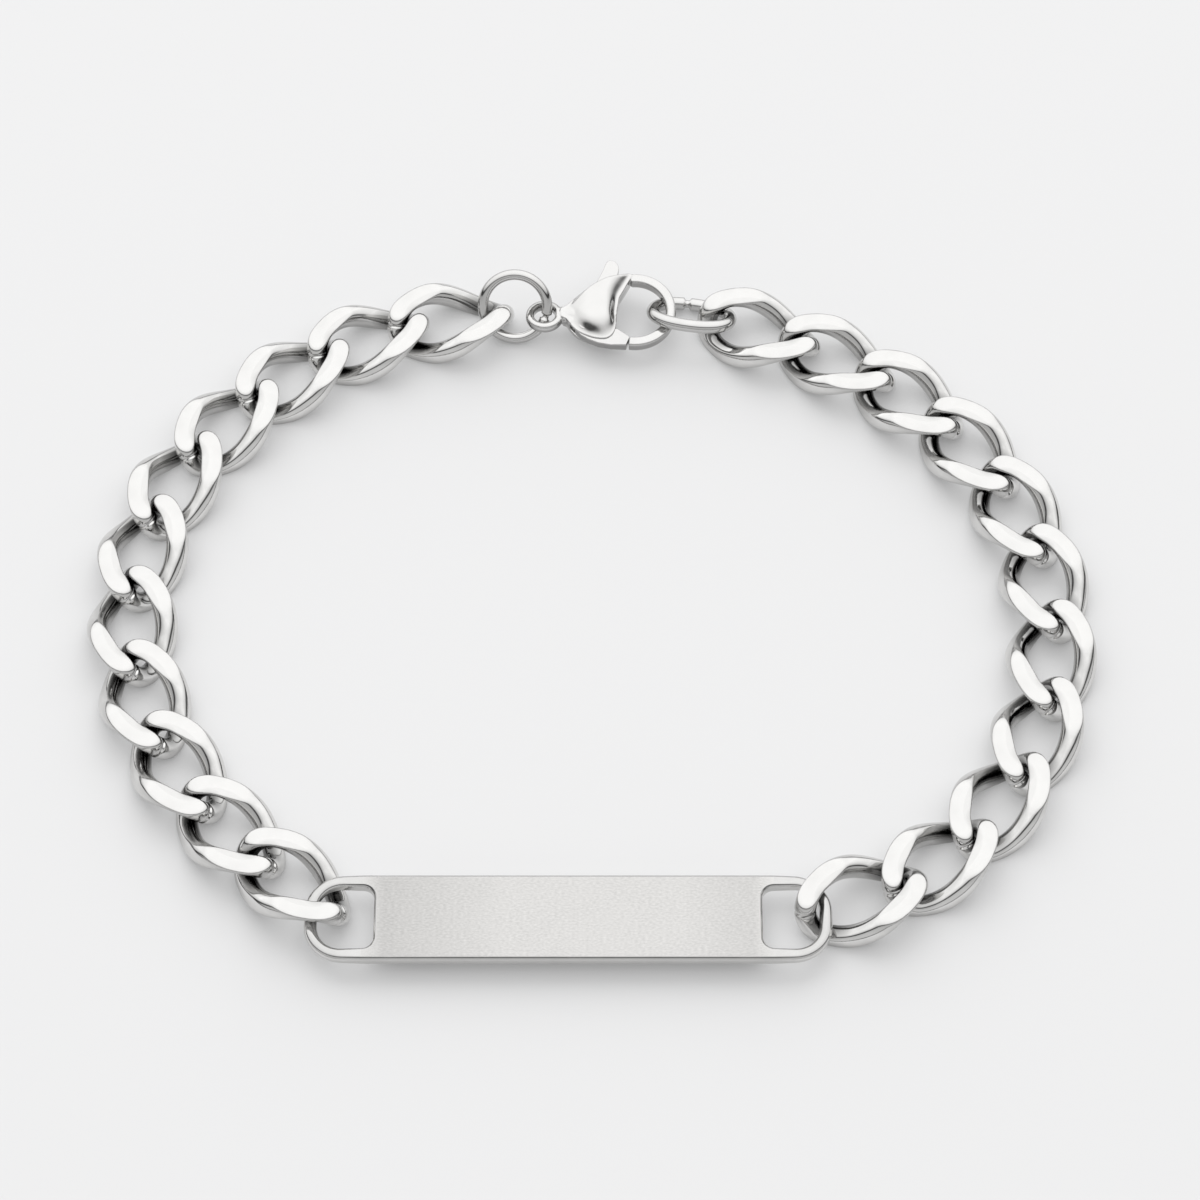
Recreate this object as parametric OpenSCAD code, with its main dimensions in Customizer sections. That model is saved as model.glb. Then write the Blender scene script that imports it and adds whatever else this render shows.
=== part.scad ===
// Identification bracelet: a bare plate between two runs of curb chain, closed by a
// lobster clasp. It lies flat in a loop on a level surface, plate towards the viewer.
// Millimetres, +Z up, X along the plate, origin under the middle of the loop.

/* [Chain] */
// Distance between the middles of neighbouring links on a straight run
link_pitch = 7.0; // [6.95:0.01:7.05]
// Half length of a link, along the middle of its wire
link_half_l = 4.46; // [4.44:0.01:4.48]
// Half width of a link, along the middle of its wire
link_half_w = 2.7; // [2.68:0.01:2.72]
// Radius of the wire's bend at each end of a link
link_end_r = 2.3; // [2.25:0.01:2.35]
// Width of the link wire, seen from above
wire_w = 1.68; // [1.60:0.01:1.70]
// Depth of the link wire before it is ground
wire_h = 1.76; // [1.66:0.01:1.78]
// Twist at each end of a link
link_twist = 54; // [52:1:55]
// Thickness of the chain over its ground faces
chain_t = 2.7; // [2.66:0.01:2.76]
// Stations round a link
link_stations = 16; // [12:4:24]

/* [Plate] */
// Length of the plate over both end loops
plate_l = 40; // [39.8:0.1:40.2]
// Width of the plate
plate_w = 7.2; // [7.1:0.1:7.3]
// Thickness of the plate
plate_t = 1.0; // [0.9:0.05:1.0]
// Length of each slot, along the plate
slot_l = 4.3; // [4.2:0.1:4.4]
// Corner radius of a slot on the plate's side
slot_r = 0.9; // [0.6:0.1:1.1]
// Round bar of the end loops
bar_d = 0.96; // [0.9:0.02:0.98]
// Radius of the loop's corners, along the middle of its bar
loop_r = 2.45; // [2.3:0.05:2.5]
// Height of the plate's underside: its loops lie on the wire of the end links
plate_lift = 1.2; // [1.15:0.05:1.25]

/* [Rings] */
// Outer diameter of the round jump ring
jump_d = 6.2; // [6.1:0.05:6.25]
// Wire of the jump ring
jump_wire = 0.88; // [0.84:0.02:0.9]
// Half length of the oval end ring, along the middle of its wire
oval_half_l = 3.2; // [3.15:0.05:3.25]
// Half width of the oval end ring, along the middle of its wire
oval_half_w = 2.35; // [2.30:0.05:2.40]
// Wire of the oval end ring
oval_wire = 1.06; // [0.98:0.02:1.06]

/* [Clasp] */
// Outer radius of the hook
hook_r = 3.42; // [3.38:0.02:3.44]
// Width of the hook's band, seen from above
hook_band = 0.84; // [0.8:0.02:0.86]
// Height of the hook's band
hook_h = 1.04; // [0.96:0.02:1.04]
// Distance from the middle of the hook to the middle of the eye
eye_x = 7.43; // [7.4:0.01:7.46]
// Outer diameter of the eye
eye_d = 2.76; // [2.7:0.02:2.8]
// Hole in the eye
eye_hole = 1.7; // [1.68:0.02:1.74]
// Thickness of the eye
eye_t = 0.8; // [0.74:0.02:0.82]
// Turn of the eye about the clasp's length, against the body
eye_turn = -11; // [-13:1:-9]
// Depth of the body below its middle
body_down = 0.85; // [0.8:0.05:0.9]
// Height of the domed top above the body's middle
body_up = 1.15; // [1.1:0.05:1.2]
// Radius of the domed top
dome_r = 6; // [5.5:0.5:7]
// Thickness of the lever
lever_t = 0.8; // [0.7:0.05:0.82]
// Rotation of the lever: 0 closed, 18 open
lever_open = 0; // [0:1:18]
// Radius of the lever's pin
pin_r = 0.34; // [0.3:0.01:0.36]

/* [Hidden] */
$fn = 48;

// Columns of a pose: [x, y, z of the middle, roll, pitch, yaw]
PLATE_AT = [-2.4, -28.84, 0];
LEFT_PLATE_LINK = [-23.4, -25.65, 1.68, 6, -0.5, 141];
RIGHT_PLATE_LINK = [19.8, -27, 1.72, 6.5, -1, 18.5];
JUMP_AT = [-7, 27.8, 2.4, 0, 47, -94];
OVAL_AT = [7.55, 27.35, 1.8, -32.5, -1, -10.5];
CLASP_AT = [3.05, 27.6, 1.9, 5.5, 0, 3.5];

// Each run starts at the tenth link, next to the plate's own link, and ends at the first
LEFT_START = [-28.4, -21.1];
LEFT_HEADING = 128;
RIGHT_START = [25.9, -23.65];
RIGHT_HEADING = 46.5;
// Columns of a run: [step to the next link as a share of the pitch, turn to the left there]
LEFT_RUN = [[0.99, -13], [0.985, -14], [0.995, -15], [1, -15], [1, -15], [0.995, -13], [1.005, -13],
            [1, -14], [1, -14]];
RIGHT_RUN = [[0.995, 16], [0.995, 15], [0.995, 14], [1, 14], [0.985, 14], [0.995, 14], [0.995, 12],
             [1, 10], [0.99, 9]];
LINK_COUNT = len(LEFT_RUN);

// Middle of the loop's outline in the numbers above, so that the origin lies under it
LAY = [-0.75, 0.08, 0];

STEEL = [0.80, 0.80, 0.79];
BRIGHT = [0.86, 0.86, 0.85];
SATIN = [0.74, 0.73, 0.71];
FIT = 0.02;

// The clasp's own frame has its origin at the middle of the body's length, Z through the hook
HOOK_C = [-0.2, 0];
PIVOT = [-4.5, -1.35];
SLOT_H = lever_t + 0.1;
// Corners of the body's outline: [x, y], from the neck round the back to the front edge
BODY_OUTLINE = [[-6.45, 0.5], [-5.8, 0.7], [-5.0, 1.4], [-3.75, 2.4], [-2.5, 3.05], [-1.4, 3.32],
                [-0.5, 3.4], [-0.1, 3.2], [-0.75, 2.2], [-1.4, 1.1], [-1.7, -0.3], [-1.85, -1.6],
                [-2.2, -2.3], [-2.75, -2.65], [-3.5, -2.55], [-4.2, -2.3], [-5.0, -1.85], [-5.5, -1.3],
                [-5.9, -0.6], [-6.45, -0.4]];
// Corners of the room that the lever turns in
LEVER_ROOM = [[-5.4, -3.6], [0.5, -3.6], [0.5, -0.5], [-1.95, -0.5], [-2.0, 1.0], [-1.15, 2.5],
              [-1.15, 4.2], [-5.2, 4.2], [-5.2, -0.5], [-5.4, -0.9]];
// Corners of the lever's lower arm, from its heel along the outer edge to the gate and back
LEVER_ARM = [[-5.2, -1.55], [-4.8, -2.1], [-4.2, -2.55], [-3.4, -2.95], [-2.4, -3.2], [-1.6, -3.25],
             [-1.15, -3.3], [-0.80, -2.62], [-1.3, -2.1], [-1.75, -1.75], [-2.6, -1.3], [-3.9, -0.75],
             [-4.9, -0.75], [-5.2, -1.2]];
// Corners of the gate's full-height head
GATE_HEAD = [[-2.2, -3.22], [-1.6, -3.25], [-1.15, -3.3], [-0.80, -2.62], [-1.3, -2.1], [-1.65, -1.95]];
TAB_TIP = [-1.85, 4.5];

// Poses along the two runs
function heading(run, start, i) = i <= 0 ? start : heading(run, start, i - 1) + run[i - 1][1];
function spot(run, from, start, i) =
    i <= 0 ? from
    : let (h = heading(run, start, i - 1))
      spot(run, from, start, i - 1) + link_pitch * run[i - 1][0] * [cos(h), sin(h)];
function facing(run, start, i) =
    i == 0 ? start - run[0][1] / 2 : heading(run, start, i - 1) + run[i - 1][1] / 2;
function run_pose(run, from, start, i) =
    let (p = spot(run, from, start, i))
    [p[0], p[1], chain_t / 2, 0, 0, facing(run, start, i)];

// A link's outline is an oval of four arcs: end_r at the ends, side_r along the sides
side_r = (pow(link_half_l, 2) + pow(link_half_w, 2) - 2 * link_half_l * link_end_r)
         / (2 * (link_half_w - link_end_r));
end_half = atan2(side_r - link_half_w, link_half_l - link_end_r);
end_run = 2 * end_half * link_end_r;
side_run = (180 - 2 * end_half) * side_r;
oval_run = 2 * (end_run + side_run);

// Point of the oval at the share u of its length, from the end at +X
function oval_point(u) =
    let (v = (u - floor(u)) * oval_run, c = link_half_l - link_end_r, d = side_r - link_half_w)
    v < end_run / 2 ? arc_point([c, 0], link_end_r, v / link_end_r)
    : v < end_run / 2 + side_run ? arc_point([0, -d], side_r, end_half + (v - end_run / 2) / side_r)
    : v < 1.5 * end_run + side_run
      ? arc_point([-c, 0], link_end_r, 180 - end_half + (v - end_run / 2 - side_run) / link_end_r)
    : v < 1.5 * end_run + 2 * side_run
      ? arc_point([0, d], side_r, 180 + end_half + (v - 1.5 * end_run - side_run) / side_r)
    : arc_point([c, 0], link_end_r, 360 - end_half + (v - 1.5 * end_run - 2 * side_run) / link_end_r);
function arc_point(c, r, a) = [c[0] + r * cos(a), c[1] + r * sin(a)];

// The twist turns the oval about X, one way at one end and the other way at the other
function link_point(u) =
    let (p = oval_point(u), a = -link_twist * p[0] / link_half_l)
    [p[0], p[1] * cos(a), p[1] * sin(a)];
function super(v, p) = sign(v) * pow(abs(v), 2 / p);
function ring_point(u) = [oval_half_l * super(cos(360 * u), 2.3), oval_half_w * super(sin(360 * u), 2.3), 0];

// Six corners of the wire's section, its top and bottom cut off flat at +-cap
function section(p, along, w, h, cap) =
    let (t = along / norm(along),
         s = cross(t, [0, 0, 1]) / norm(cross(t, [0, 0, 1])),
         n = cross(s, t),
         up = asin(min(sin(60), (cap - p[2]) / (n[2] * h / 2))),
         down = asin(min(sin(60), (cap + p[2]) / (n[2] * h / 2))),
         mid = (up - down) / 2)
    [for (a = [mid, up, 180 - up, 180 - mid, 180 + down, -down])
        p + s * cos(a) * w / 2 + n * sin(a) * h / 2];

// Side faces of a closed tube of rings of six points
function tube_faces(n) =
    [for (i = [0:n - 1], j = [0:5], k = [0, 1])
        let (i2 = (i + 1) % n, j2 = (j + 1) % 6)
        k == 0 ? [i * 6 + j, i2 * 6 + j2, i * 6 + j2] : [i * 6 + j, i2 * 6 + j, i2 * 6 + j2]];

module lay() {
    translate(-LAY) children();
}

module posed(pose) {
    lay() translate([pose[0], pose[1], pose[2]]) rotate([pose[3], pose[4], pose[5]]) children();
}

// One curb link, along X about its own middle
module curb_link() {
    n = link_stations;
    points = [for (i = [0:n - 1])
        each section(link_point(i / n), link_point(i / n + 0.01) - link_point(i / n - 0.01),
                     wire_w, wire_h, chain_t / 2)];
    polyhedron(points, tube_faces(n), convexity = 6);
}

module left_link(i) {
    color(STEEL) posed(run_pose(LEFT_RUN, LEFT_START, LEFT_HEADING, 10 - i)) curb_link();
}

module right_link(i) {
    color(STEEL) posed(run_pose(RIGHT_RUN, RIGHT_START, RIGHT_HEADING, 10 - i)) curb_link();
}

module link_l01() { left_link(1); }
module link_l02() { left_link(2); }
module link_l03() { left_link(3); }
module link_l04() { left_link(4); }
module link_l05() { left_link(5); }
module link_l06() { left_link(6); }
module link_l07() { left_link(7); }
module link_l08() { left_link(8); }
module link_l09() { left_link(9); }
module link_l10() { left_link(10); }
module link_l11() { color(STEEL) posed(LEFT_PLATE_LINK) curb_link(); }
module link_r01() { right_link(1); }
module link_r02() { right_link(2); }
module link_r03() { right_link(3); }
module link_r04() { right_link(4); }
module link_r05() { right_link(5); }
module link_r06() { right_link(6); }
module link_r07() { right_link(7); }
module link_r08() { right_link(8); }
module link_r09() { right_link(9); }
module link_r10() { right_link(10); }
module link_r11() { color(STEEL) posed(RIGHT_PLATE_LINK) curb_link(); }

// Middle of a loop's bar with the way it faces outwards: [x, y, facing], its outermost point at 0
function loop_path() =
    let (y = (plate_w - plate_t) / 2, c = y - loop_r)
    [[-slot_l - 0.4, y, 90],
     for (a = [90:-15:0]) [loop_r * cos(a) - loop_r, c + loop_r * sin(a), a],
     for (a = [0:-15:-90]) [loop_r * cos(a) - loop_r, loop_r * sin(a) - c, a],
     [-slot_l - 0.4, -y, -90]];

module loop_bar() {
    rows = loop_path();
    n = len(rows);
    m = 12;
    r = bar_d / 2;
    points = [for (q = rows, k = [0:m - 1])
        let (a = 15 + 360 * k / m)
        [q[0] + r * cos(a) * cos(q[2]), q[1] + r * cos(a) * sin(q[2]), r * sin(a)]];
    sides = [for (i = [0:n - 2], k = [0:m - 1])
        [i * m + k, (i + 1) * m + k, (i + 1) * m + (k + 1) % m, i * m + (k + 1) % m]];
    first = [for (k = [0:m - 1]) k];
    last = [for (k = [0:m - 1]) (n - 1) * m + m - 1 - k];
    polyhedron(points, concat(sides, [first, last]), convexity = 4);
}

// Opening of one slot, open towards the loop, its plate side at the origin
module slot_plan() {
    w = plate_w - 2 * plate_t;
    translate([slot_r, -w / 2]) square([slot_l, w]);
    translate([0, slot_r - w / 2]) square([slot_l, w - 2 * slot_r]);
    for (s = [-1, 1]) translate([slot_r, s * (w / 2 - slot_r)]) circle(slot_r);
}

module id_plate() {
    body_l = plate_l - 2 * (slot_l + plate_t);
    color(SATIN) lay() translate(PLATE_AT) translate([0, 0, plate_lift]) {
        linear_extrude(plate_t) difference() {
            square([body_l + 2 * slot_r, plate_w], center = true);
            for (a = [0, 180]) rotate(a) translate([body_l / 2, 0]) slot_plan();
        }
        for (a = [0, 180]) rotate([0, 0, a]) translate([(plate_l - plate_t) / 2, 0, plate_t / 2]) loop_bar();
    }
}

module jump_ring() {
    color(BRIGHT) posed(JUMP_AT) rotate_extrude()
        translate([(jump_d - jump_wire) / 2, 0]) circle(d = jump_wire, $fn = 24);
}

module end_ring() {
    n = 20;
    points = [for (i = [0:n - 1])
        each section(ring_point(i / n), ring_point(i / n + 0.005) - ring_point(i / n - 0.005),
                     oval_wire, oval_wire, oval_wire)];
    color(BRIGHT) posed(OVAL_AT) polyhedron(points, tube_faces(n), convexity = 6);
}

// Ring of flat section with full round edges, about Z
module eye_ring() {
    w = (eye_d - eye_hole) / 2;
    r = w / 2;
    rotate_extrude() translate([eye_hole / 2 + r, 0]) {
        for (s = [-1, 1]) translate([0, s * (eye_t / 2 - r)]) circle(r = r, $fn = 24);
        translate([-r, r - eye_t / 2]) square([w, eye_t - w]);
    }
}

module hook_section() {
    r = hook_band / 2;
    for (s = [-1, 1]) translate([0, s * (hook_h / 2 - r)]) circle(r = r);
    translate([-r, r - hook_h / 2]) square([2 * r, hook_h - 2 * r]);
}

module clasp_shell() {
    intersection() {
        translate([0, 0, -body_down]) linear_extrude(body_down + body_up) polygon(BODY_OUTLINE);
        translate([-2.6, 0.3, body_up - dome_r]) sphere(r = dome_r, $fn = 64);
    }
}

module clasp_body() {
    color(BRIGHT) posed(CLASP_AT) {
        difference() {
            union() {
                clasp_shell();
                translate([HOOK_C[0], HOOK_C[1], 0]) rotate([0, 0, -102]) rotate_extrude(angle = 208)
                    translate([hook_r - hook_band / 2, 0]) hook_section();
                translate([HOOK_C[0] - eye_x + 0.9, -0.02, 0]) rotate([0, 90, 0]) cylinder(r = 0.42, h = 1);
            }
            translate([0, 0, -SLOT_H / 2]) linear_extrude(SLOT_H) polygon(LEVER_ROOM);
            translate([PIVOT[0], PIVOT[1], -body_down - 1]) cylinder(r = pin_r + FIT, h = body_down + 1.75);
        }
        translate([HOOK_C[0] - eye_x, 0, 0]) rotate([eye_turn, 0, 0]) eye_ring();
    }
}

module lever_plan() {
    polygon(LEVER_ARM);
    hull() {
        translate(PIVOT) circle(r = 0.72);
        translate([-2.5, 2.6]) circle(r = 0.62);
    }
    hull() {
        translate([-2.5, 2.6]) circle(r = 0.62);
        translate(TAB_TIP) circle(r = 0.6);
    }
}

module clasp_lever() {
    color(BRIGHT) posed(CLASP_AT) translate(PIVOT) rotate([0, 0, lever_open]) translate(-PIVOT)
        difference() {
            union() {
                translate([0, 0, -lever_t / 2]) linear_extrude(lever_t) lever_plan();
                translate([0, 0, -hook_h / 2]) linear_extrude(hook_h) polygon(GATE_HEAD);
            }
            translate([PIVOT[0], PIVOT[1], -2]) cylinder(r = pin_r + 2 * FIT, h = 4);
        }
}

module lever_pin() {
    color(BRIGHT) posed(CLASP_AT) translate([PIVOT[0], PIVOT[1], -body_down]) cylinder(r = pin_r, h = body_down + 0.7);
}

id_plate();
link_l01();
link_l02();
link_l03();
link_l04();
link_l05();
link_l06();
link_l07();
link_l08();
link_l09();
link_l10();
link_l11();
link_r01();
link_r02();
link_r03();
link_r04();
link_r05();
link_r06();
link_r07();
link_r08();
link_r09();
link_r10();
link_r11();
jump_ring();
end_ring();
clasp_body();
clasp_lever();
lever_pin();
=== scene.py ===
"""Identification bracelet: a satin plate, two runs of curb chain, two rings and a lobster clasp.

Sizes are in millimetres and angles in degrees, as on the maker's drawing, unless a line says
otherwise. Sizes are turned into metres where a mesh is made.
"""
import logging
import math
from dataclasses import dataclass
from enum import Enum
from typing import Callable, Sequence, Union

import bmesh
import bpy
from mathutils import Matrix, Vector


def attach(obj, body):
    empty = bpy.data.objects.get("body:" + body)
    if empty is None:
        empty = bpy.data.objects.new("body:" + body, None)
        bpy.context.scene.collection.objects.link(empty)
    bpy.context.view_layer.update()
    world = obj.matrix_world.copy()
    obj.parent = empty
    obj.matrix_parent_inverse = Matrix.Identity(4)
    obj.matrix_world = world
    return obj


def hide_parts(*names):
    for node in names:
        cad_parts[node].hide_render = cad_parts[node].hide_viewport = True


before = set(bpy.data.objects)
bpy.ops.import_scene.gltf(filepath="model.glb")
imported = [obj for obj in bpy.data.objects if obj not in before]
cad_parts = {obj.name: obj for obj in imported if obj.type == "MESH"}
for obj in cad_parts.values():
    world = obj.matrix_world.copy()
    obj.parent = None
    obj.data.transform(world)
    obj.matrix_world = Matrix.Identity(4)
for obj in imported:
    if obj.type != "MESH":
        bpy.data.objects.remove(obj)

Point = tuple[float, float]
Triple = tuple[float, float, float]
Solid = tuple[list[Vector], list[list[int]]]  # corners, and faces by the corners' numbers
Socket = bpy.types.NodeSocket

log = logging.getLogger("bracelet")
MM = 0.001
WELD = 0.002  # corners nearer to each other than this are one
UP = Vector((0, 0, 1))
LAY = Vector((-0.75, 0.08, 0.0))  # middle of the drawing, which the frame has at its origin
LINK_HALF: Point = (4.46, 2.70)  # half length and half width of a link, to its wire's middle
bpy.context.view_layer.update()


class Run(Enum):
    """Which side of the loop a run of chain is on."""

    LEFT = "l"
    RIGHT = "r"


class Body(Enum):
    """The rigid bodies that pieces ride on."""

    BRACELET = "bracelet"
    LEVER = "lever"


class Slot(Enum):
    """Material slots of the record."""

    CHAIN = "chain_steel"
    PLATE = "plate_steel"
    FITTING = "fitting_steel"


class Axis(Enum):
    """The axes of a piece's own drawing."""

    X = "X"
    Y = "Y"
    Z = "Z"


class Maths(Enum):
    """The steps of arithmetic that finishes are worked out with."""

    ABSOLUTE = "ABSOLUTE"
    ADD = "ADD"
    DIVIDE = "DIVIDE"
    MINIMUM = "MINIMUM"
    MULTIPLY = "MULTIPLY"
    MULTIPLY_ADD = "MULTIPLY_ADD"
    ROOT = "SQRT"
    SUBTRACT = "SUBTRACT"


@dataclass(frozen=True)
class Pose:
    """Place of a piece on the drawing: its middle, and its roll, pitch and yaw."""

    x: float
    y: float
    z: float
    roll: float = 0.0
    pitch: float = 0.0
    yaw: float = 0.0

    def matrix(self) -> Matrix:
        """Turns the pose into a matrix.

        Returns:
            The matrix in metres, in the shared frame.
        """
        turn = (Matrix.Rotation(math.radians(self.yaw), 4, "Z")
                @ Matrix.Rotation(math.radians(self.pitch), 4, "Y")
                @ Matrix.Rotation(math.radians(self.roll), 4, "X"))
        return Matrix.Translation((Vector((self.x, self.y, self.z)) - LAY) * MM) @ turn


# Lines and sections

def circuit(count: int) -> list[float]:
    """Angles in radians of evenly spread places round a circle."""
    return [2 * math.pi * i / count for i in range(count)]


def on_circle(turn: float, radius: float = 1.0, x: float = 0.0) -> Vector:
    """Point of a level circle about (x, 0) at a turn in radians; with radius 1 a direction."""
    return Vector((x + radius * math.cos(turn), radius * math.sin(turn), 0))


def bell(value: float, middle: float, spread: float) -> float:
    """Height of a bell curve, which is 1 at its middle."""
    return math.exp(-((value - middle) / spread) ** 2)


def rounded(half_w: float, half_h: float, corner: float, angle: float, sides: int) -> Point:
    """Point of a rectangle with round corners, which share its points between them.

    Args:
        half_w: half width.
        half_h: half height.
        corner: radius of the corners.
        angle: angle of the walk round it, in radians.
        sides: points of the whole walk, a multiple of four.

    Returns:
        The point's two offsets from the middle.
    """
    share = sides // 4
    quarter, step = divmod(round(angle / (2 * math.pi) * sides), share)
    turn = (quarter + step / (share - 1)) * math.pi / 2
    right, upper = quarter in (0, 3), quarter < 2
    return (math.copysign(half_w - corner, 1 if right else -1) + corner * math.cos(turn),
            math.copysign(half_h - corner, 1 if upper else -1) + corner * math.sin(turn))


def flowing(corners: Sequence[Point], steps: int) -> list[Point]:
    """Draws a closed smooth line through corners.

    Args:
        corners: the corners in order.
        steps: points drawn from each corner to the next.

    Returns:
        The points of the line.
    """
    out, n = [], len(corners)
    for i in range(n):
        p0, p1, p2, p3 = (corners[(i + k - 1) % n] for k in range(4))
        for k in range(steps):
            t = k / steps
            out.append(tuple(0.5 * (2 * b + (c - a) * t + (2 * a - 5 * b + 4 * c - d) * t * t
                                    + (3 * b - a - 3 * c + d) * t ** 3)
                             for a, b, c, d in zip(p0, p1, p2, p3)))
    return out


# Solids and meshes

def tube(path: Sequence[Vector], outward: Sequence[Vector], lift: Sequence[Vector],
         section: Callable[[int, float], Point], sides: int, closed: bool,
         capped: bool = True) -> Solid:
    """Sweeps a section along a path.

    Args:
        path: middle of the section at each station.
        outward: direction of the section's first axis at each station.
        lift: direction of its second axis at each station.
        section: gives the point of the section at a station and an angle in radians.
        sides: points round the section.
        closed: whether the last station joins the first.
        capped: whether open ends get a face.

    Returns:
        Corners and faces.
    """
    points = []
    for i, centre in enumerate(path):
        for angle in circuit(sides):
            a, b = section(i, angle)
            points.append(centre + outward[i] * a + lift[i] * b)
    faces, count = [], len(path)
    for i in range(count if closed else count - 1):
        j = (i + 1) % count
        for k in range(sides):
            m = (k + 1) % sides
            faces.append([i * sides + k, i * sides + m, j * sides + m, j * sides + k])
    if capped and not closed:
        faces.append(list(range(sides)))
        faces.append([(count - 1) * sides + k for k in range(sides)])
    return points, faces


def prism(outline: Sequence[Point], low: float, high: float) -> Solid:
    """Raises an outline into a solid with a level foot and top.

    Args:
        outline: corners of the outline.
        low: height of its foot.
        high: height of its top.

    Returns:
        Corners and faces.
    """
    n = len(outline)
    points = [Vector((x, y, z)) for z in (low, high) for x, y in outline]
    sides = [[k, (k + 1) % n, n + (k + 1) % n, n + k] for k in range(n)]
    return points, [list(range(n)), list(range(n, 2 * n))] + sides


def smooth_mesh(name: str, solid: Solid, weld: float = 0.0) -> bpy.types.Mesh:
    """Makes a smooth-shaded mesh of a solid.

    Args:
        name: name of the mesh.
        solid: corners and faces.
        weld: distance under which corners are joined.

    Returns:
        The new mesh in metres, with its faces turned outwards.
    """
    points, faces = solid
    mesh = bpy.data.meshes.new(name)
    mesh.from_pydata([tuple(p) for p in points], [], [tuple(f) for f in faces])
    work = bmesh.new()
    work.from_mesh(mesh)
    if weld > 0:
        bmesh.ops.remove_doubles(work, verts=work.verts, dist=weld)
        bmesh.ops.dissolve_degenerate(work, edges=work.edges, dist=weld / 4)
    bmesh.ops.recalc_face_normals(work, faces=work.faces)
    for face in work.faces:
        face.smooth = True
    bmesh.ops.scale(work, vec=(MM, MM, MM), verts=work.verts)
    work.to_mesh(mesh)
    work.free()
    return mesh


def cast(name: str, solids: Sequence[Solid], grain: float, passes: int) -> bpy.types.Mesh:
    """Fuses overlapping solids into one skin with soft edges, as a casting has.

    Args:
        name: name of the mesh.
        solids: corners and faces of each solid.
        grain: size of the skin's faces.
        passes: how often the skin is smoothed.

    Returns:
        The skin as a mesh in metres.
    """
    points: list[Vector] = []
    faces: list[list[int]] = []
    for solid_points, solid_faces in solids:
        base = len(points)
        work = bmesh.new()
        corners = [work.verts.new(p) for p in solid_points]
        for face in solid_faces:
            work.faces.new([corners[i] for i in face])
        bmesh.ops.recalc_face_normals(work, faces=work.faces)
        work.verts.index_update()
        points += [v.co.copy() for v in work.verts]
        faces += [[base + v.index for v in f.verts] for f in work.faces]
        work.free()
    rough = bpy.data.meshes.new(name + "_rough")
    rough.from_pydata([tuple(p) for p in points], [], faces)
    model = bpy.data.objects.new(name + "_model", rough)
    bpy.context.scene.collection.objects.link(model)
    skin = model.modifiers.new("skin", "REMESH")
    skin.mode = "VOXEL"
    skin.voxel_size = grain
    skin.adaptivity = 0.0
    polish = model.modifiers.new("polish", "SMOOTH")
    polish.factor = 0.5
    polish.iterations = passes
    bpy.context.view_layer.update()
    shape = model.evaluated_get(bpy.context.evaluated_depsgraph_get())
    mesh = bpy.data.meshes.new_from_object(shape)
    mesh.name = name
    bpy.data.objects.remove(model)
    bpy.data.meshes.remove(rough)
    mesh.materials.clear()
    mesh.transform(Matrix.Scale(MM, 4))
    mesh.polygons.foreach_set("use_smooth", [True] * len(mesh.polygons))
    mesh.update()
    return mesh


def place(mesh: bpy.types.Mesh, name: str, at: Pose, materials: Sequence[bpy.types.Material],
          body: Body, node: str) -> None:
    """Puts a mesh in the scene as the piece that stands for a node.

    Args:
        mesh: the piece's mesh, in metres about its own middle.
        name: the piece's name.
        at: its place.
        materials: its materials, in the order of the mesh's slots.
        body: the body that it rides on.
        node: the node that it replaces.
    """
    if not mesh.materials:
        for material in materials:
            mesh.materials.append(material)
    piece = bpy.data.objects.new(name, mesh)
    bpy.context.scene.collection.objects.link(piece)
    piece.matrix_world = at.matrix()
    bpy.context.view_layer.update()
    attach(piece, body.value)
    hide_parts(node)
    log.info("piece %s: %d faces, for %s", name, len(mesh.polygons), node)


# Finishes

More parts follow.
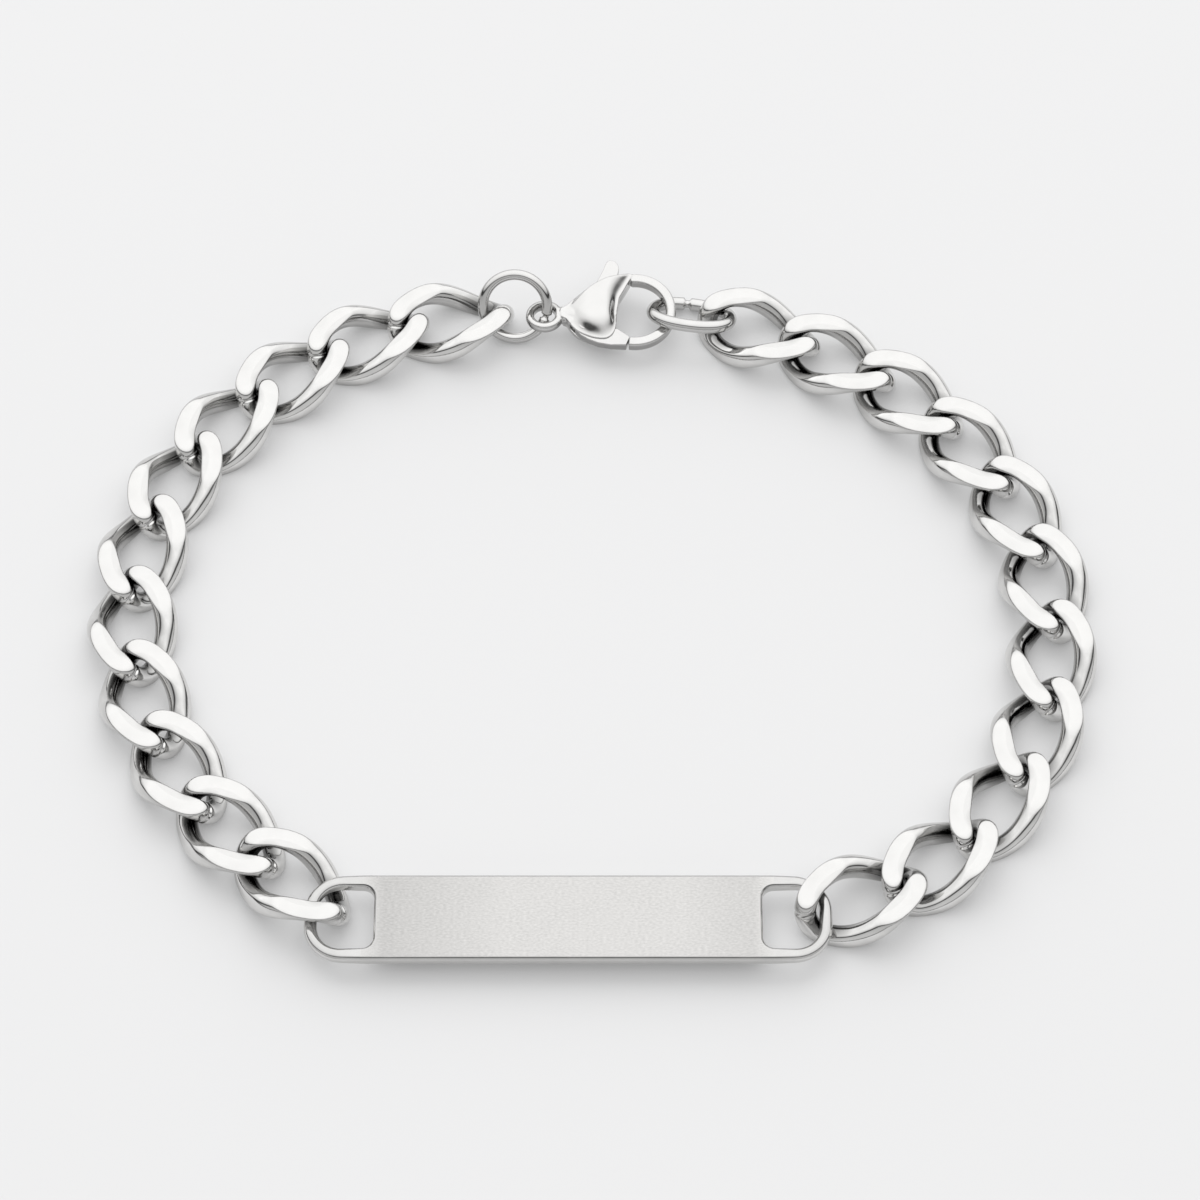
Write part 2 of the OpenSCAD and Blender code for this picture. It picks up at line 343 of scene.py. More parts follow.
class FinishNodes:
    """The nodes of one finish, with the steps that it is put together from.

    Attributes:
        material: the material.
        tree: its nodes and links.
        shader: its metal.
        spot: the point on the piece.
        along: that point's place on each axis.
    """

    def __init__(self, name: str) -> None:
        """Starts a finish of bare metal.

        Args:
            name: name of the material.
        """
        self.material = bpy.data.materials.new(name)
        self.material.use_nodes = True
        self.tree = self.material.node_tree
        self.shader = self.tree.nodes["Principled BSDF"]
        self.shader.inputs["Metallic"].default_value = 1.0
        self.spot: Socket = self.tree.nodes.new("ShaderNodeTexCoord").outputs["Object"]
        parts = self.tree.nodes.new("ShaderNodeSeparateXYZ")
        self.tree.links.new(self.spot, parts.inputs["Vector"])
        self.along: dict[Axis, Socket] = {axis: parts.outputs[axis.value] for axis in Axis}

    def maths(self, kind: Maths, *values: Union[Socket, float]) -> Socket:
        """Adds a step of arithmetic.

        Args:
            kind: the operation.
            values: its inputs, sockets or numbers.

        Returns:
            The result.
        """
        node = self.tree.nodes.new("ShaderNodeMath")
        node.operation = kind.value
        for inlet, value in zip(node.inputs, values):
            if isinstance(value, (int, float)):
                inlet.default_value = value
            else:
                self.tree.links.new(value, inlet)
        return node.outputs["Value"]

    def span(self, value: Socket, before: Point, after: Point) -> Socket:
        """Maps a value from one range to another.

        Args:
            value: the value.
            before: the range that it comes in.
            after: the range that it goes out in.

        Returns:
            The mapped value, held inside the second range.
        """
        node = self.tree.nodes.new("ShaderNodeMapRange")
        for name, number in zip(("From Min", "From Max", "To Min", "To Max"), (*before, *after)):
            node.inputs[name].default_value = number
        self.tree.links.new(value, node.inputs["Value"])
        return node.outputs["Result"]

    def noise(self, per_mm: Triple, detail: float) -> Socket:
        """Adds noise that is counted per millimetre along each axis.

        Args:
            per_mm: how many spots come in a millimetre, along each axis.
            detail: how many finer layers are added.

        Returns:
            The noise, from 0 to 1.
        """
        scale = self.tree.nodes.new("ShaderNodeMapping")
        scale.inputs["Scale"].default_value = tuple(count / MM for count in per_mm)
        self.tree.links.new(self.spot, scale.inputs["Vector"])
        noise = self.tree.nodes.new("ShaderNodeTexNoise")
        noise.inputs["Scale"].default_value = 1.0
        noise.inputs["Detail"].default_value = detail
        self.tree.links.new(scale.outputs["Vector"], noise.inputs["Vector"])
        return noise.outputs["Fac"]

    def dress(self, tint: Triple, tone: Socket, rough: Socket, grain: Socket,
              depth: float) -> None:
        """Puts colour, roughness and grain on the metal.

        Args:
            tint: its colour where the tone is 1.
            tone: its brightness.
            rough: its roughness.
            grain: height of the grain, from 0 to 1.
            depth: depth of the grain.
        """
        links = self.tree.links
        colour = self.tree.nodes.new("ShaderNodeVectorMath")
        colour.operation = "SCALE"
        colour.inputs[0].default_value = tint
        links.new(tone, colour.inputs["Scale"])
        links.new(colour.outputs["Vector"], self.shader.inputs["Base Color"])
        links.new(rough, self.shader.inputs["Roughness"])
        bump = self.tree.nodes.new("ShaderNodeBump")
        bump.inputs["Strength"].default_value = 1.0
        bump.inputs["Distance"].default_value = depth * MM
        links.new(grain, bump.inputs["Height"])
        links.new(bump.outputs["Normal"], self.shader.inputs["Normal"])


def metres(span: Point) -> Point:
    """Turns a range from millimetres into metres."""
    return span[0] * MM, span[1] * MM


@dataclass(frozen=True)
class Zone:
    """Part of a piece that is finished otherwise, or on which shade is painted by its tone.

    Attributes:
        axis: the piece's own axis that it is measured along.
        reach: distances from its middle at which the change begins and is complete.
        rough: what is added to the roughness; where it is, the specks fade away too.
        tone: what is added to the tone, for a change of finish or as painted shade.
        about: the middle's place on the axis.
    """

    axis: Axis
    reach: Point
    rough: float = 0.0
    tone: float = 0.0
    about: float = 0.0


@dataclass(frozen=True)
class Steel:
    """A finish of stainless steel, from mirror polish to a satin grain.

    Attributes:
        name: name of the material.
        tint: colour of the steel.
        rough: lowest and highest roughness.
        grain: how fine the grain is: spots in a millimetre, along each axis.
        depth: depth of the grain.
        mottle: the same count for the broad unevenness.
        speckle: how much the tone changes with the grain's noise.
        zones: parts that are finished otherwise or have shade painted on them.
        grain_layers: finer layers of the grain.
        mottle_layers: finer layers of the unevenness.
        grain_span: range that the grain's noise mostly keeps to.
        mottle_span: the same for the unevenness.
        both_span: the same for the product of the two.
        mottle_tone: tone in the dullest and in the brightest part of the unevenness.
    """

    name: str
    tint: Triple
    rough: Point
    grain: Triple
    depth: float
    mottle: float = 0.6
    speckle: float = 0.0
    zones: tuple[Zone, ...] = ()
    grain_layers: float = 4.0
    mottle_layers: float = 2.0
    grain_span: Point = (0.25, 0.75)
    mottle_span: Point = (0.3, 0.7)
    both_span: Point = (0.12, 0.42)
    mottle_tone: Point = (0.94, 1.0)

    def material(self) -> bpy.types.Material:
        """Makes the finish from the point on the piece, so that it moves with the piece.

        Returns:
            The material.
        """
        nodes = FinishNodes(self.name)
        fine = nodes.noise(self.grain, self.grain_layers)
        broad = nodes.noise((self.mottle,) * 3, self.mottle_layers)
        rough = nodes.span(nodes.maths(Maths.MULTIPLY, fine, broad), self.both_span, self.rough)
        tone = nodes.span(broad, self.mottle_span, self.mottle_tone)
        spread = self.speckle * (self.grain_span[1] - self.grain_span[0]) / 2
        specks = nodes.span(fine, self.grain_span, (-spread, spread))
        for zone in self.zones:
            away = nodes.maths(Maths.SUBTRACT, nodes.along[zone.axis], zone.about * MM)
            share = nodes.span(nodes.maths(Maths.ABSOLUTE, away), metres(zone.reach), (0.0, 1.0))
            tone = nodes.maths(Maths.MULTIPLY_ADD, share, zone.tone, tone)
            if zone.rough:
                rough = nodes.maths(Maths.MULTIPLY_ADD, share, zone.rough, rough)
                rest = nodes.maths(Maths.SUBTRACT, 1.0, share)
                specks = nodes.maths(Maths.MULTIPLY, specks, rest)
        # painted shade by the piece's form, where the finish has any
        tone = self._painted_shade(nodes, nodes.maths(Maths.ADD, tone, specks))
        nodes.dress(self.tint, tone, rough, fine, self.depth)
        return nodes.material

    def _painted_shade(self, nodes: FinishNodes, tone: Socket) -> Socket:
        """Leaves the tone as it is; a finish that paints shade by the piece's form does it here.
        """
        return tone


@dataclass(frozen=True)
class LinkSteel(Steel):
    """The finish of a curb link: bright outside, with painted shade inside and in both bends.

    Attributes:
        inside_shade: tone of the painted shade on the inside.
        inside_shade_span: where the painted shade of the inside goes over to the outside, as a
            squared share of the oval that the wire's middle lies on.
        ground: tone of the ground faces.
        ground_span: heights between which the wire goes over to them.
        dark: tone of the painted shade in the bends.
        dark_span: distances from a bend's middle between which the painted shade ends.
        dark_x: place of that middle along the link.
        dark_weights: how much the squares of width and height count in that distance.
    """

    inside_shade: float = 0.74
    inside_shade_span: Point = (0.95, 1.35)
    ground: float = 0.775
    ground_span: Point = (0.55, 1.25)
    dark: float = 0.25
    dark_span: Point = (1.45, 2.3)
    dark_x: float = 2.6
    dark_weights: Point = (0.70, 2.2)

    def _painted_shade(self, nodes: FinishNodes, tone: Socket) -> Socket:
        """Paints shade on the inside and in both bends, where the neighbouring links shade the
        wire, and gives the ground faces a darker tone.

        Args:
            nodes: the nodes of the finish.
            tone: the tone of the outside.

        Returns:
            The tone of the whole link.
        """
        length, width = metres(LINK_HALF)
        x, y, z = (nodes.along[axis] for axis in Axis)
        z_squared = nodes.maths(Maths.MULTIPLY, z, z)
        across = nodes.maths(Maths.MULTIPLY_ADD, y, y, z_squared)
        share_x = nodes.maths(Maths.DIVIDE, x, length)
        share = nodes.maths(Maths.MULTIPLY_ADD, share_x, share_x,
                            nodes.maths(Maths.DIVIDE, across, width ** 2))
        # painted shade: the inside of the link, which faces its neighbours, is darker
        outside = nodes.span(share, self.inside_shade_span, (self.inside_shade, 1.0))
        flat = nodes.span(nodes.maths(Maths.ABSOLUTE, z), metres(self.ground_span),
                          (1.0, self.ground))
        tone = nodes.maths(Maths.MULTIPLY, tone, nodes.maths(Maths.MINIMUM, outside, flat))
        # painted shade: both bends are darker, where the neighbouring link lies over the wire
        weight_y, weight_z = self.dark_weights
        beside = nodes.maths(Maths.MULTIPLY_ADD, y, nodes.maths(Maths.MULTIPLY, y, weight_y),
                             nodes.maths(Maths.MULTIPLY, z_squared, weight_z))
        ahead = nodes.maths(Maths.SUBTRACT, nodes.maths(Maths.ABSOLUTE, x), self.dark_x * MM)
        away = nodes.maths(Maths.ROOT, nodes.maths(Maths.MULTIPLY_ADD, ahead, ahead, beside))
        bend = nodes.span(away, metres(self.dark_span), (self.dark, 1.0))
        return nodes.maths(Maths.MULTIPLY, tone, bend)


# the links get painted shade on their inside and in both bends from LinkSteel
CHAIN_STEEL = LinkSteel(
    name="chain_polish", tint=(0.745, 0.740, 0.729), rough=(0.05, 0.12), grain=(2.0, 4.0, 4.0),
    depth=0.0010, speckle=0.10, zones=(Zone(Axis.Z, (1.30, 1.34), rough=0.10),))
# painted shade: the first zone makes the satin face darker towards both ends
SATIN_PLATE = Steel(
    name="satin_plate", tint=(0.4875, 0.4815, 0.4727), rough=(0.34, 0.46), grain=(3.8, 8.0, 8.0),
    depth=0.0060, mottle=0.4, speckle=0.56,
    zones=(Zone(Axis.X, (6.7, 17.0), tone=-0.175, about=2.1),
           Zone(Axis.X, (14.0, 15.55), rough=-0.27, tone=0.15)))
POLISHED_EDGE = Steel(
    name="polished_edge", tint=(0.70, 0.695, 0.685), rough=(0.08, 0.18), grain=(1.0, 6.0, 6.0),
    depth=0.0008, zones=(Zone(Axis.Z, (0.28, 0.44), tone=-0.30),))
# painted shade: the zone lightens top and foot, so the casting's sides look shaded
BRIGHT_CAST = Steel(
    name="bright_cast", tint=(0.42, 0.417, 0.411), rough=(0.09, 0.16), grain=(2.5, 2.5, 2.5),
    depth=0.0010, zones=(Zone(Axis.Z, (0.22, 0.42), tone=0.34),))
# painted shade: the zone lightens top and foot, so the lever's sides look shaded
LEVER_CAST = Steel(
    name="lever_cast", tint=(0.38, 0.377, 0.372), rough=(0.09, 0.16), grain=(2.5, 2.5, 2.5),
    depth=0.0010, zones=(Zone(Axis.Z, (0.26, 0.39), tone=0.44),))
BRIGHT_WIRE = Steel(
    name="bright_wire", tint=(0.565, 0.561, 0.553), rough=(0.05, 0.11), grain=(3.0, 3.0, 3.0),
    depth=0.0008)
RIVET_WIRE = Steel(
    name="rivet_wire", tint=(0.54, 0.536, 0.528), rough=(0.12, 0.22), grain=(5.0, 5.0, 5.0),
    depth=0.0012)


# Chain

@dataclass
class CurbChain:
    """Both runs of curb chain, with the link that holds each end of the plate.

    Attributes:
        pitch: distance from link to link.
        half_l: half length of a link, to the middle of its wire.
        half_w: its half width.
        end_r: radius of its ends.
        wire_w: width of the wire.
        wire_h: its height.
        twist: turn of each end about the link's length.
        thick: distance between the two ground faces.
        soft: how far the edges of the ground faces are polished round.
        belly: how much fuller the wire is halfway along the link.
        belly_l: how far that reaches along it.
        seam_at: place of the butted seam, as a share of the wire's length.
        seam_deep: its depth.
        seam: its rows, as the share of the length from its place and the share of its depth.
        seam_clear: no other station is nearer to it than this share of the length.
        stations: places along the wire.
        sides: points round it.
        left_plate: place of the link that holds the plate's left end.
        left_start: place of the link after it, with the heading of the run.
        left_run: share of the pitch to each next link, and the turn there.
        right_plate: the same at the right end.
        right_start: the same for the right run.
        right_run: the same for the right run.
    """

    pitch: float = 7.0
    half_l: float = LINK_HALF[0]
    half_w: float = LINK_HALF[1]
    end_r: float = 2.3
    wire_w: float = 1.68
    wire_h: float = 1.70
    twist: float = 54.0
    thick: float = 2.7
    soft: float = 0.20
    belly: float = 0.08
    belly_l: float = 1.6
    seam_at: float = 0.484
    seam_deep: float = 0.10
    seam: tuple[Point, ...] = ((-0.008, 0.0), (-0.005, 0.2), (-0.0015, 1.0),
                               (0.0015, 1.0), (0.005, 0.2), (0.008, 0.0))
    seam_clear: float = 0.010
    stations: int = 120
    sides: int = 64
    left_plate: Pose = Pose(-23.4, -25.65, 1.68, 6, -0.5, 141)
    left_start: Pose = Pose(-28.4, -21.1, 0, yaw=128)
    left_run: tuple[Point, ...] = ((0.99, -13), (0.985, -14), (0.995, -15), (1, -15), (1, -15),
                                   (0.995, -13), (1.005, -13), (1, -14), (1, -14))
    right_plate: Pose = Pose(19.8, -27.0, 1.72, 6.5, -1, 18.5)
    right_start: Pose = Pose(25.9, -23.65, 0, yaw=46.5)
    right_run: tuple[Point, ...] = ((0.995, 16), (0.995, 15), (0.995, 14), (1, 14), (0.985, 14),
                                    (0.995, 14), (0.995, 12), (1, 10), (0.99, 9))

    def _oval(self, share: float) -> Point:
        """Finds a point of the untwisted link's middle line, two end arcs and two side arcs.

        Args:
            share: place along the line, as a share of its length.

        Returns:
            The point in the plane of the link.
        """
        end_x = self.half_l - self.end_r
        side_r = ((self.half_l ** 2 + self.half_w ** 2 - 2 * self.half_l * self.end_r)
                  / (2 * (self.half_w - self.end_r)))
        side_y = side_r - self.half_w
        half = math.atan2(side_y, end_x)
        end_run, side_run = 2 * half * self.end_r, (math.pi - 2 * half) * side_r
        left = (share % 1.0) * 2 * (end_run + side_run)
        # each arc's middle, radius, first angle and length, and the part of it before the start
        arcs = ((end_x, 0, self.end_r, -half, end_run, end_run / 2),
                (0, -side_y, side_r, half, side_run, 0),
                (-end_x, 0, self.end_r, math.pi - half, end_run, 0),
                (0, side_y, side_r, math.pi + half, side_run, 0),
                (end_x, 0, self.end_r, -half, end_run, 0))
        for x, y, r, start, run, before in arcs:
            if left <= run - before:
                turn = start + (left + before) / r
                return x + r * math.cos(turn), y + r * math.sin(turn)
            left -= run - before
        return self.half_l, 0.0

    def _middle(self, share: float) -> Vector:
        """Finds a point of the twisted link's middle line.

        Args:
            share: place along the line, as a share of its length.

        Returns:
            The point.
        """
        x, y = self._oval(share)
        turn = -math.radians(self.twist) * x / self.half_l
        return Vector((x, y * math.cos(turn), y * math.sin(turn)))

    def _reach(self, centre: float, above: float, below: float, angle: float,
               wire: Point) -> float:
        """Measures from a point inside the wire to its skin.

        Args:
            centre: height of that point over the wire's middle.
            above: height of the upper ground face over the wire's middle.
            below: depth of the lower one under it.
            angle: direction, in radians.
            wire: half width and half height of the wire.

        Returns:
            The distance, with the edges of the ground faces polished round.
        """
        c, s = math.cos(angle), math.sin(angle)
        level = 1e-6
        a = (c / wire[0]) ** 2 + (s / wire[1]) ** 2
        b = centre * s / wire[1] ** 2
        oval = (-b + math.sqrt(b * b - a * ((centre / wire[1]) ** 2 - 1))) / a
        face = math.inf
        if s > level:
            face = (above - centre) / s
        elif s < -level:
            face = (below + centre) / -s
        left = (face - oval) / self.soft
        if abs(left) >= 1:
            return min(face, oval)
        return oval - self.soft * (1 - left) ** 2 / 4

    def _link(self) -> bpy.types.Mesh:
        """Makes the one link that every place of the chain uses, with its seam at one end.

        Returns:
            The mesh of the link.
        """
        rows = [(i / self.stations, 0.0) for i in range(self.stations)
                if abs(i / self.stations - self.seam_at) > self.seam_clear]
        rows = sorted(rows + [(self.seam_at + step, deep * self.seam_deep)
                              for step, deep in self.seam])
        path = [self._middle(share) for share, _ in rows]
        near = 0.002
        along = [(self._middle(share + near) - self._middle(share - near)).normalized()
                 for share, _ in rows]
        outward = [way.cross(UP).normalized() for way in along]
        lift = [side.cross(way) for side, way in zip(outward, along)]

        def section(i: int, angle: float) -> Point:
            """Draws the oval of the wire between the two ground faces, cut in at the seam.

            Args:
                i: the station.
                angle: direction, in radians.

            Returns:
                The point of the section.
            """
            deep = rows[i][1]
            full = 1 + self.belly * bell(path[i].x, 0.0, self.belly_l)
            wire = (self.wire_w / 2 * full - deep, self.wire_h / 2 * full - deep)
            above = (self.thick / 2 - deep - path[i].z) / lift[i].z
            below = (self.thick / 2 - deep + path[i].z) / lift[i].z
            centre = (min(wire[1], above) - min(wire[1], below)) / 2
            r = self._reach(centre, above, below, angle, wire)
            return r * math.cos(angle), centre + r * math.sin(angle)

        solid = tube(path, outward, lift, section, self.sides, closed=True)
        return smooth_mesh("curb_link", solid, WELD)

    def _poses(self, run: Run) -> list[Pose]:
        """Lays out a run, link by link.

        Args:
            run: which run.

        Returns:
            The places of its links, from the one in the plate to the first at the clasp.
        """
        held, start, steps = ((self.left_plate, self.left_start, self.left_run)
                              if run is Run.LEFT
                              else (self.right_plate, self.right_start, self.right_run))
        x, y, heading = start.x, start.y, start.yaw
        out = [held, Pose(x, y, self.thick / 2, yaw=heading - steps[0][1] / 2)]
        for share, turn in steps:
            x += self.pitch * share * math.cos(math.radians(heading))
            y += self.pitch * share * math.sin(math.radians(heading))
            out.append(Pose(x, y, self.thick / 2, yaw=heading + turn / 2))
            heading += turn
        return out

    def build(self) -> None:
        """Makes the link once and lays it at every place of both runs."""
        mesh = self._link()
        finish = [CHAIN_STEEL.material()]
        for run in Run:
            poses = self._poses(run)
            for i, pose in enumerate(poses):
                number = f"{run.value}{len(poses) - i:02d}"
                place(mesh, f"curb_{number}", pose, finish, Body.BRACELET,
                      f"link_{number}")


# Plate

@dataclass
class IdPlate:
    """The bare plate with a slot and a round end loop at each end.

    Attributes:
        length: length over both loops.
        width: width of the body.
        thick: its thickness.
        bar: thickness of the loops' bar.
        slot_l: length of a slot.
        slot_r: radius of its corners at the body.
        loop_r: radius of the loops' bends, to the middle of the bar.
        rim: points of the rounded edge, as the way in and the way down from it.
        slot_steps: steps round a corner of the slot.
        arm_steps: steps along an arm.
        bend_steps: steps round a bend of the loop.
        bend_square: how square the bar still is where its bend begins, from 0 to 1.
        square_steps: steps in which a quite square bar would turn round.
        at: place of the plate.
    """

    length: float = 40.0
    width: float = 7.2
    thick: float = 1.0
    bar: float = 0.98
    slot_l: float = 4.3
    slot_r: float = 0.9
    loop_r: float = 2.45
    rim: tuple[Point, ...] = ((0.215, 0.0), (0.19, 0.006), (0.165, 0.022), (0.048, 0.118),
                              (0.022, 0.145), (0.006, 0.18), (0.0, 0.21))
    slot_steps: int = 10
    arm_steps: int = 8
    bend_steps: int = 12
    bend_square: float = 0.5
    square_steps: int = 10
    at: Pose = Pose(-2.4, -28.84, 1.7)

    def _stub(self) -> float:
        """Distance from the middle to where the arms begin."""
        return self.length / 2 - self.slot_l - self.thick + self.slot_r

    def _slot_line(self) -> list[Triple]:
        """Draws the body's edge in the right slot, with its round corners.

        Returns:
            x, y and the direction of the open side at each point.
        """
        r, inner, half_w = self.slot_r, self._stub() - self.slot_r, self.width / 2 - self.thick
        line = []
        for k in range(self.slot_steps + 1):
            turn = 90 / self.slot_steps * k
            line.append((inner + r - r * math.sin(math.radians(turn)),
                         -half_w + r - r * math.cos(math.radians(turn)), 90 - turn))
        return line + [(x, -y, -way) for x, y, way in reversed(line)]

    def _rim(self, line: Sequence[Triple]) -> list[list[Vector]]:
        """Rounds the edge along a line of the plan.

        Args:
            line: x, y and the direction of the open side at each point.

        Returns:
            For each point, the row of corners from the top face over the edge to the lower face.
        """
        rows = []
        for x, y, way in line:
            c, s = math.cos(math.radians(way)), math.sin(math.radians(way))
            rows.append([Vector((x - c * inset, y - s * inset, side * (self.thick / 2 - drop)))
                         for side in (1, -1) for inset, drop in self.rim[::side]])
        return rows

    def _loop(self) -> Solid:
        """Bends the bar of the right loop, squared where the arms leave the body, then round.

        Returns:
            Corners and faces, open at both ends.
        """
        half_w, share = (self.width - self.thick) / 2, len(self.rim)
        bend_x = self.length / 2 - self.thick / 2 - self.loop_r
        bend_y = half_w - self.loop_r
        rows: list[tuple[float, float, float, float]] = []
        for k in range(self.arm_steps + 1):
            rows.append((self._stub() + (bend_x - self._stub()) * k / self.arm_steps, half_w, 90.0,
                         1 - (1 - self.bend_square) * k / self.arm_steps))
        for k in range(1, self.bend_steps + 1):
            way = 90 - 90 / self.bend_steps * k
            rows.append((bend_x + self.loop_r * math.cos(math.radians(way)),
                         bend_y + self.loop_r * math.sin(math.radians(way)), way,
                         max(0.0, self.bend_square - k / self.square_steps)))
        rows += [(x, -y, -way, square) for x, y, way, square in reversed(rows)]

        def section(i: int, angle: float) -> Point:
            """Draws the body's square with its rim, going over to the round bar.

            Args:
                i: the station.
                angle: direction, in radians.

            Returns:
                The point of the section.
            """
            quarter, step = divmod(round(angle / (2 * math.pi) * 4 * share), share)
            k = step if quarter % 2 else share - 1 - step
            inset, drop = self.rim[k]
            turn, square = math.pi / 2 * k / (share - 1), rows[i][3]
            a = self.bar / 2 * math.sin(turn) * (1 - square) + (self.thick / 2 - inset) * square
            b = self.bar / 2 * math.cos(turn) * (1 - square) + (self.thick / 2 - drop) * square
            return a if quarter in (0, 3) else -a, b if quarter < 2 else -b

        return tube([Vector((x, y, 0)) for x, y, _, _ in rows],
                    [on_circle(math.radians(way)) for _, _, way, _ in rows],
                    [UP] * len(rows), section, 4 * share, closed=False, capped=False)

    def _mesh(self) -> bpy.types.Mesh:
        """Makes the plate in one skin: the flat body, its arms and both loops.

        Returns:
            The mesh, with the satin faces in its second material slot.
        """
        stub, slot = self._stub(), self._slot_line()
        front = [(x, -self.width / 2, -90) for x in (-stub, stub)]
        work = bmesh.new()
        rims = []
        for line in (front, slot, [(-x, -y, way + 180) for x, y, way in front],
                     [(-x, -y, way + 180) for x, y, way in slot]):
            rims.append([[work.verts.new(p) for p in row] for row in self._rim(line)])
            for one, two in zip(rims[-1], rims[-1][1:]):
                for k in range(len(one) - 1):
                    work.faces.new([one[k], two[k], two[k + 1], one[k + 1]])
        for side in (0, -1):
            # both flat faces are satin, and end in a crisp line at the rolled rim
            wide = work.faces.new([row[side] for rim in rims for row in rim])
            wide.material_index = 1
            for edge in wide.edges:
                edge.smooth = False
        for face in work.faces:
            face.smooth = True
        for turn in (1, -1):
            points, faces = self._loop()
            corners = [work.verts.new((p.x * turn, p.y * turn, p.z)) for p in points]
            for line in faces:
                work.faces.new([corners[i] for i in line]).smooth = True
        for edge in work.edges:
            # no crease where the body runs on into its arms
            if all(abs(abs(v.co.x) - stub) < WELD / 20 for v in edge.verts):
                edge.smooth = True
        bmesh.ops.remove_doubles(work, verts=work.verts, dist=WELD)
        bmesh.ops.recalc_face_normals(work, faces=work.faces)
        bmesh.ops.scale(work, vec=(MM, MM, MM), verts=work.verts)
        mesh = bpy.data.meshes.new("plate")
        work.to_mesh(mesh)
        work.free()
        return mesh

    def build(self) -> None:
        """Makes the plate."""
        place(self._mesh(), "plate_with_loops", self.at,
              [POLISHED_EDGE.material(), SATIN_PLATE.material()],
              Body.BRACELET, "id_plate")


# Rings

@dataclass(frozen=True)
class WireRing:
    """A ring bent from round wire, with its ends butted.

    Attributes:
        node: the node that it stands for.
        half_l: half length, to the middle of the wire.
        half_w: half width.
        power: how full its corners are; 2 gives a plain oval.
        wire: thickness of the wire.
        seam: angle of the butted seam.
        at: its place.
    """

    node: str
    half_l: float
    half_w: float
    power: float
    wire: float
    seam: float
    at: Pose


@dataclass
class WireRings:
    """The round jump ring and the oval end ring.

    Attributes:
        rings: both rings.
        stations: places along the wire.
        sides: points round it.
        seam_steps: how many stations the seam reaches to each side.
        seam_left: share of the wire's thickness that is left in the seam.
    """

    rings: tuple[WireRing, ...] = (
        WireRing("jump_ring", 2.66, 2.66, 2.0, 0.88, 75.0, Pose(-7, 27.8, 2.4, 0, 47, -94)),
        WireRing("end_ring", 3.2, 2.35, 2.3, 1.06, 100.0,
                 Pose(7.55, 27.35, 1.8, -32.5, -1, -10.5)))
    stations: int = 144
    sides: int = 28
    seam_steps: int = 1
    seam_left: float = 0.6

    def _mesh(self, ring: WireRing, name: str) -> bpy.types.Mesh:
        """Bends a ring.

        Args:
            ring: its sizes.
            name: name of the mesh.

        Returns:
            The mesh of the ring.
        """
        path, n = [], self.stations
        seam = round(ring.seam / 360 * n)
        for turn in circuit(n):
            c, s = math.cos(turn), math.sin(turn)
            path.append(Vector((ring.half_l * math.copysign(abs(c) ** (2 / ring.power), c),
                                ring.half_w * math.copysign(abs(s) ** (2 / ring.power), s), 0)))
        along = [(path[(i + 1) % n] - path[i - 1]).normalized() for i in range(n)]

        def section(i: int, angle: float) -> Point:
            """Circle of the wire, drawn in at the seam."""
            r = ring.wire / 2 * (self.seam_left if abs(i - seam) <= self.seam_steps else 1.0)
            return r * math.cos(angle), r * math.sin(angle)

        outward = [way.cross(UP) for way in along]
        return smooth_mesh(name, tube(path, outward, [UP] * n, section, self.sides, closed=True))

    def build(self) -> None:
        """Makes both rings."""
        finish = [BRIGHT_WIRE.material()]
        for ring in self.rings:
            name = f"{ring.node}_wire"
            place(self._mesh(ring, name), name, ring.at, finish, Body.BRACELET,
                  ring.node)


# Clasp

CLASP_AT = Pose(3.05, 27.6, 1.9, 5.5, 0, 3.5)  # place of the clasp's body and lever


